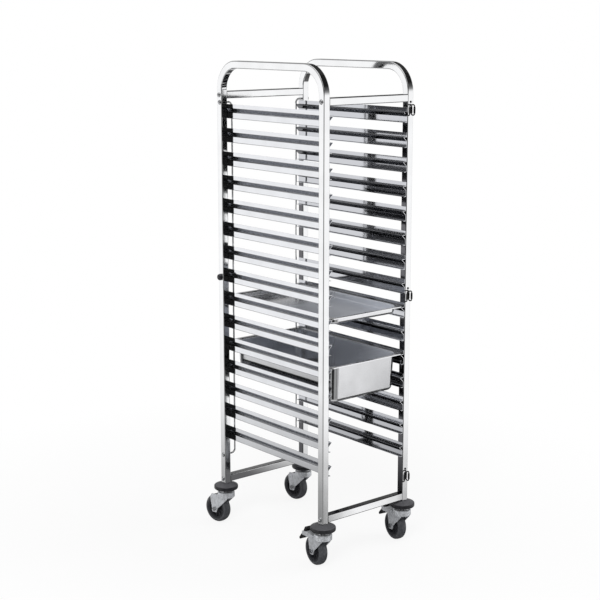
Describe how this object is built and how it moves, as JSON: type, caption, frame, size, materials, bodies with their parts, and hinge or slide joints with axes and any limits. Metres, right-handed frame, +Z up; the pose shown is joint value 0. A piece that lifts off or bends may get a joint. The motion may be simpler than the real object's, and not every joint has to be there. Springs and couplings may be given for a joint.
{
  "type": "tray trolley",
  "caption": "Tall open rack of square tube on swivel casters, with folded runners that hold a sliding shallow tray and a sliding deep pan.",
  "frame": {"origin": "on the floor, midway along the ground covered by the casters and bumpers and midway between the sides", "axes": "+Z up, +X towards the right side seen from the loading side, +Y from the loading side to the back"},
  "size_m": [0.439, 0.6545, 1.623],
  "materials": {
    "tube_steel": "fine brushed stainless tube",
    "runner_steel": "bright rolled stainless sheet",
    "container_steel": "pressed stainless, satin inside",
    "wire_steel": "drawn stainless wire",
    "plated_steel": "bright zinc plate",
    "fork_steel": "pressed steel, zinc plated",
    "hook_steel": "dark coated wire",
    "plug_plastic": "moulded, unfinished",
    "bumper_rubber": "smooth dark grey rubber",
    "tyre_rubber": "solid grey rubber",
    "hub_plastic": "moulded dark grey plastic",
    "pedal_plastic": "moulded black plastic"
  },
  "bodies": {
    "rack": {"side_frame_left": "tube_steel", "side_frame_right": "tube_steel", "crossbar_top_front": "tube_steel", "crossbar_top_rear": "tube_steel", "crossbar_bottom_front": "tube_steel", "crossbar_bottom_rear": "tube_steel", "runners_level_01": "runner_steel", "runners_level_02": "runner_steel", "runners_level_03": "runner_steel", "runners_level_04": "runner_steel", "runners_level_05": "runner_steel", "runners_level_06": "runner_steel", "runners_level_07": "runner_steel", "runners_level_08": "runner_steel", "runners_level_09": "runner_steel", "runners_level_10": "runner_steel", "runners_level_11": "runner_steel", "runners_level_12": "runner_steel", "runners_level_13": "runner_steel", "runners_level_14": "runner_steel", "runners_level_15": "runner_steel", "stop_rods": "wire_steel", "dome_fasteners": "plated_steel", "threaded_plugs": "plug_plastic", "keeper_hooks": "hook_steel", "side_buffer": "bumper_rubber", "bumper_front_left": "bumper_rubber", "swivel_head_front_left": "plated_steel", "bumper_front_right": "bumper_rubber", "swivel_head_front_right": "plated_steel", "bumper_rear_left": "bumper_rubber", "swivel_head_rear_left": "plated_steel", "bumper_rear_right": "bumper_rubber", "swivel_head_rear_right": "plated_steel"},
    "caster_front_left": {"race_balls_front_left": "plated_steel", "fork_front_left": "fork_steel", "axle_front_left": "plated_steel", "brake_plate_front_left": "fork_steel"},
    "wheel_front_left": {"hub_front_left": "hub_plastic", "tyre_front_left": "tyre_rubber"},
    "brake_front_left": {"brake_pedal_front_left": "pedal_plastic"},
    "caster_front_right": {"race_balls_front_right": "plated_steel", "fork_front_right": "fork_steel", "axle_front_right": "plated_steel", "brake_plate_front_right": "fork_steel"},
    "wheel_front_right": {"hub_front_right": "hub_plastic", "tyre_front_right": "tyre_rubber"},
    "brake_front_right": {"brake_pedal_front_right": "pedal_plastic"},
    "caster_rear_left": {"race_balls_rear_left": "plated_steel", "fork_rear_left": "fork_steel", "axle_rear_left": "plated_steel"},
    "wheel_rear_left": {"hub_rear_left": "hub_plastic", "tyre_rear_left": "tyre_rubber"},
    "caster_rear_right": {"race_balls_rear_right": "plated_steel", "fork_rear_right": "fork_steel", "axle_rear_right": "plated_steel"},
    "wheel_rear_right": {"hub_rear_right": "hub_plastic", "tyre_rear_right": "tyre_rubber"},
    "tray": {"tray": "container_steel"},
    "pan": {"pan": "container_steel"}
  },
  "joints": [
    {"name": "swivel_front_left", "type": "hinge", "parent": "rack", "child": "caster_front_left", "pos_m": [-0.1775, -0.2855, 0.12], "axis": [0, 0, 1], "continuous": true},
    {"name": "roll_front_left", "type": "hinge", "parent": "caster_front_left", "child": "wheel_front_left", "pos_m": [-0.17287, -0.24778, 0.05], "axis": [0.9925, -0.1219, 0], "continuous": true},
    {"name": "brake_front_left", "type": "hinge", "parent": "caster_front_left", "child": "brake_front_left", "pos_m": [-0.16702, -0.20014, 0.098], "axis": [-0.9925, 0.1219, 0], "range_deg": [0, 22]},
    {"name": "swivel_front_right", "type": "hinge", "parent": "rack", "child": "caster_front_right", "pos_m": [0.1775, -0.2855, 0.12], "axis": [0, 0, 1], "continuous": true},
    {"name": "roll_front_right", "type": "hinge", "parent": "caster_front_right", "child": "wheel_front_right", "pos_m": [0.18344, -0.24797, 0.05], "axis": [0.9877, -0.1564, 0], "continuous": true},
    {"name": "brake_front_right", "type": "hinge", "parent": "caster_front_right", "child": "brake_front_right", "pos_m": [0.19095, -0.20056, 0.098], "axis": [-0.9877, 0.1564, 0], "range_deg": [0, 22]},
    {"name": "swivel_rear_left", "type": "hinge", "parent": "rack", "child": "caster_rear_left", "pos_m": [-0.1775, 0.2395, 0.12], "axis": [0, 0, 1], "continuous": true},
    {"name": "roll_rear_left", "type": "hinge", "parent": "caster_rear_left", "child": "wheel_rear_left", "pos_m": [-0.1854, 0.27667, 0.05], "axis": [0.9781, 0.2079, 0], "continuous": true},
    {"name": "swivel_rear_right", "type": "hinge", "parent": "rack", "child": "caster_rear_right", "pos_m": [0.1775, 0.2395, 0.12], "axis": [0, 0, 1], "continuous": true},
    {"name": "roll_rear_right", "type": "hinge", "parent": "caster_rear_right", "child": "wheel_rear_right", "pos_m": [0.17221, 0.27713, 0.05], "axis": [0.9903, 0.1392, 0], "continuous": true},
    {"name": "tray_slide", "type": "slide", "parent": "rack", "child": "tray", "axis": [0, -1, 0], "range_m": [0, 0.5]},
    {"name": "pan_slide", "type": "slide", "parent": "rack", "child": "pan", "axis": [0, -1, 0], "range_m": [0, 0.5]}
  ]
}
